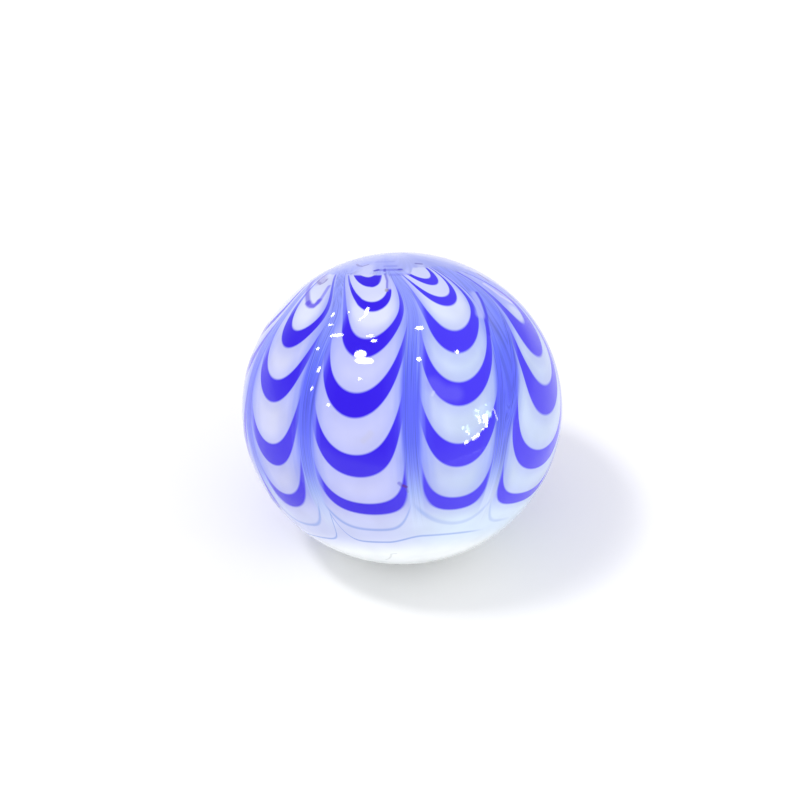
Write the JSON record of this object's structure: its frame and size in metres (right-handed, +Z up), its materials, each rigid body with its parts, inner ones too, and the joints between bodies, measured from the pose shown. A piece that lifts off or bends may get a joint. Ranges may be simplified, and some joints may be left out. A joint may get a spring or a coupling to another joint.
{
  "type": "glass marble",
  "caption": "Solid, slightly flattened ball of glossy white opal glass, with blue glass combed into scallops from its crown down to a plain white underside.",
  "frame": {"origin": "middle of the ball", "axes": "+Z up, along the short way through the ball; -Y towards the front, where the scallops hang straightest; the point where the combed lines gather leans back towards +Y"},
  "size_m": [0.025, 0.025, 0.024],
  "materials": {
    "combed_glass": "high gloss, opaque: blue scallops combed into white opal glass"
  },
  "bodies": {
    "root": {"marble": "combed_glass"}
  },
  "joints": []
}
